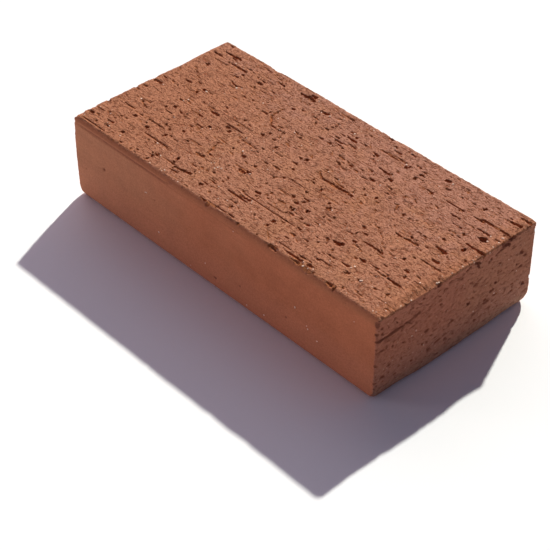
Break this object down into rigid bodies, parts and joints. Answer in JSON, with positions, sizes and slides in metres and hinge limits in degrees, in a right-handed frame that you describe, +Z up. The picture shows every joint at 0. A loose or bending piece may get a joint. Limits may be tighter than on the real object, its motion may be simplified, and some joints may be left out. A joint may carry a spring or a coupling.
{
  "type": "fire brick",
  "caption": "Solid red-brown extruded clay brick with smooth sides, wire-cut ends and a dragged, pitted top face.",
  "frame": {"origin": "middle of the bed face, on the level floor that the brick lies on", "axes": "+X along the brick's length, towards the rough cut end that shows; +Y across it, away from the side that shows; +Z up through the skimmed top face"},
  "size_m": [0.23, 0.112, 0.052],
  "materials": {
    "fired_clay": "unglazed red-brown fired clay: smooth die skin on the sides and the bed, dragged and pitted on the top and the cut ends"
  },
  "bodies": {
    "root": {"brick": "fired_clay"}
  },
  "joints": []
}
